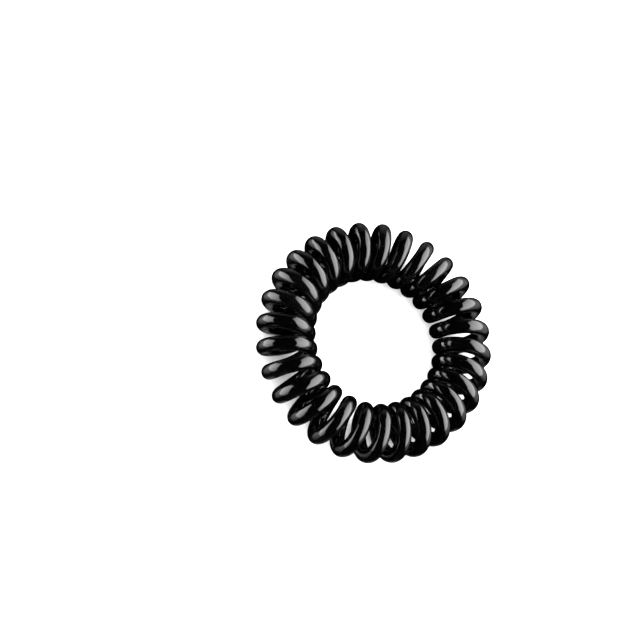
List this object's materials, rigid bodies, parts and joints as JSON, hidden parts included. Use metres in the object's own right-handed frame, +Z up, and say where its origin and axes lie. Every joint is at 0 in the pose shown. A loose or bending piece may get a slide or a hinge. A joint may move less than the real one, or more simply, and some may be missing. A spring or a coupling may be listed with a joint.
{
  "type": "spiral hair tie",
  "caption": "Hair tie of glossy round plastic cord, wound to a springy coil and closed to a ring that lies flat.",
  "frame": {"origin": "centre of the ring, on the flat surface that the tie lies on", "axes": "+Z up along the ring's axis, +X outward through the middle of a turn's outer end"},
  "size_m": [0.0499, 0.0499, 0.0135],
  "materials": {
    "cord": "glossy black thermoplastic polyurethane, extruded round and set to a coil by heat"
  },
  "bodies": {
    "root": {"coil": "cord"}
  },
  "joints": []
}
